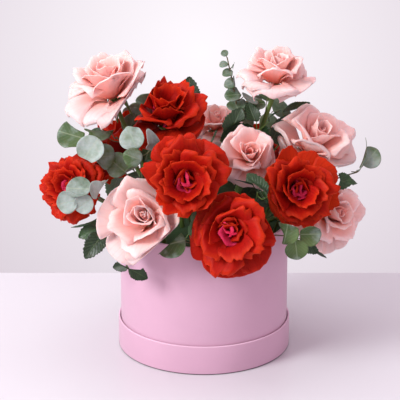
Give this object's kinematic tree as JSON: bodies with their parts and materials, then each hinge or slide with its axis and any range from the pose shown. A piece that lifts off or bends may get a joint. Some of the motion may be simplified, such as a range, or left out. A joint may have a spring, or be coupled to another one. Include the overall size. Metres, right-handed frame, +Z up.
{
  "type": "flower hat box",
  "caption": "Round board hat box standing in its upturned lid, filled with floral foam and an arrangement of open garden roses, eucalyptus and rose foliage.",
  "frame": {"origin": "centre of the lid's flat underside, on the surface it stands on", "axes": "+Z up, -Y towards the front of the arrangement, +X to the right seen from the front"},
  "size_m": [0.3959, 0.2938, 0.362],
  "materials": {
    "board": "matte",
    "film": "gloss",
    "foam": "matte",
    "red_petal": "matte",
    "pink_petal": "matte",
    "rose_green": "satin",
    "rose_leaf": "satin",
    "eucalyptus": "matte"
  },
  "bodies": {
    "root": {"eucalyptus_back_left": "eucalyptus", "eucalyptus_back_right": "eucalyptus", "eucalyptus_front": "eucalyptus", "eucalyptus_left": "eucalyptus", "eucalyptus_left_tall": "eucalyptus", "eucalyptus_low_left": "eucalyptus", "eucalyptus_low_right": "eucalyptus", "eucalyptus_middle": "eucalyptus", "eucalyptus_right": "eucalyptus", "eucalyptus_tall": "eucalyptus", "floral_foam": "foam", "hat_box": "board", "lid_tray": "board", "liner": "film", "rose_leaf_back": "rose_leaf", "rose_leaf_back_left": "rose_leaf", "rose_leaf_behind_right": "rose_leaf", "rose_leaf_between": "rose_leaf", "rose_leaf_front": "rose_leaf", "rose_leaf_left": "rose_leaf", "rose_leaf_low_right": "rose_leaf", "rose_leaf_middle": "rose_leaf", "rose_leaf_right": "rose_leaf", "rose_leaf_tall_right": "rose_leaf", "rose_leaf_under_front": "rose_leaf", "rose_leaf_upper": "rose_leaf", "rose_pink_back": "pink_petal", "rose_pink_back_right": "pink_petal", "rose_pink_back_right_stem": "rose_green", "rose_pink_back_stem": "rose_green", "rose_pink_front": "pink_petal", "rose_pink_front_stem": "rose_green", "rose_pink_inner": "pink_petal", "rose_pink_inner_stem": "rose_green", "rose_pink_low_right": "pink_petal", "rose_pink_low_right_stem": "rose_green", "rose_pink_middle": "pink_petal", "rose_pink_middle_stem": "rose_green", "rose_pink_right": "pink_petal", "rose_pink_right_stem": "rose_green", "rose_pink_tall_left": "pink_petal", "rose_pink_tall_left_stem": "rose_green", "rose_pink_tall_right": "pink_petal", "rose_pink_tall_right_stem": "rose_green", "rose_red_back": "red_petal", "rose_red_back_left": "red_petal", "rose_red_back_left_stem": "rose_green", "rose_red_back_stem": "rose_green", "rose_red_front": "red_petal", "rose_red_front_stem": "rose_green", "rose_red_left": "red_petal", "rose_red_left_stem": "rose_green", "rose_red_low": "red_petal", "rose_red_low_stem": "rose_green", "rose_red_right": "red_petal", "rose_red_right_stem": "rose_green", "rose_red_upper": "red_petal", "rose_red_upper_stem": "rose_green"}
  },
  "joints": []
}
